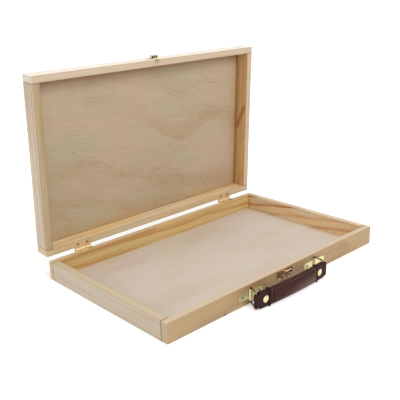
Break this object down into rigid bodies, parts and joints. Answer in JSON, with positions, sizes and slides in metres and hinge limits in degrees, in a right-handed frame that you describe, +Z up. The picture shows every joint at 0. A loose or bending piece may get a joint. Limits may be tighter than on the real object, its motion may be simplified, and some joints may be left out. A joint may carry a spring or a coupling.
{
  "type": "brush box",
  "caption": "Shallow wooden brush box with a hinged lid, a sprung brass catch and a padded leather handle on two wire rings.",
  "frame": {"origin": "middle of the tray's underside", "axes": "+X along the hinges to the right, -Y towards the front with the catch and handle, +Z up"},
  "size_m": [0.38, 0.2846, 0.2646],
  "materials": {
    "pine": "clear satin varnish on planed softwood",
    "plywood": "thin clear varnish on light plywood",
    "brass": "bright pressed sheet",
    "ring_wire": "bright drawn wire, a little darkened",
    "snap_brass": "polished",
    "spring_steel": "plain wire",
    "strap_leather": "smooth dark leather",
    "grip_leather": "smooth padded dark leather",
    "band_leather": "black painted edge"
  },
  "bodies": {
    "tray": {"tray_front_board": "pine", "tray_back_board": "pine", "tray_left_board": "pine", "tray_right_board": "pine", "tray_bottom_panel": "plywood", "hinge_left_tray_leaf": "brass", "hinge_right_tray_leaf": "brass", "hinge_left_pin": "brass", "hinge_right_pin": "brass", "hinge_tray_screws": "brass", "catch_plate": "brass", "catch_nails": "brass", "catch_pin": "brass", "catch_spring": "spring_steel", "handle_left_bracket": "brass", "handle_right_bracket": "brass", "bracket_nails": "brass"},
    "lid": {"lid_front_board": "pine", "lid_back_board": "pine", "lid_left_board": "pine", "lid_right_board": "pine", "lid_panel": "plywood", "hinge_left_lid_leaf": "brass", "hinge_right_lid_leaf": "brass", "hinge_lid_screws": "brass", "catch_striker": "brass", "striker_nails": "brass"},
    "catch_lever": {"catch_lever": "brass"},
    "left_ring": {"handle_left_ring": "ring_wire"},
    "right_ring": {"handle_right_ring": "ring_wire"},
    "handle": {"handle_strap": "strap_leather", "handle_grip": "grip_leather", "handle_left_band": "band_leather", "handle_right_band": "band_leather", "handle_snap_caps": "snap_brass", "handle_snap_backs": "snap_brass"}
  },
  "joints": [
    {"name": "lid_hinge", "type": "hinge", "parent": "tray", "child": "lid", "pos_m": [0, 0.1204, 0.0252], "axis": [1, 0, 0], "range_deg": [0, 87]},
    {"name": "catch_lever_pivot", "type": "hinge", "parent": "tray", "child": "catch_lever", "pos_m": [0, -0.1201, 0.015], "axis": [1, 0, 0], "range_deg": [0, 25], "stiffness_Nm_per_rad": 0.02, "springref_deg": -17.19},
    {"name": "left_ring_swing", "type": "hinge", "parent": "tray", "child": "left_ring", "pos_m": [-0.0613, -0.1183, 0.0115], "axis": [0, 0, 1], "range_deg": [-4, 42]},
    {"name": "right_ring_swing", "type": "hinge", "parent": "tray", "child": "right_ring", "pos_m": [0.0587, -0.1183, 0.0115], "axis": [0, 0, 1], "range_deg": [-4, 42]},
    {"name": "handle_turn", "type": "hinge", "parent": "left_ring", "child": "handle", "pos_m": [-0.06988, -0.1339, 0.0115], "axis": [0, 0, 1], "range_deg": [-41, 4]}
  ],
  "couplings": [
    {"joint": "right_ring_swing", "follows": "left_ring_swing", "ratio": 0.99},
    {"joint": "handle_turn", "follows": "left_ring_swing", "ratio": -0.96}
  ]
}
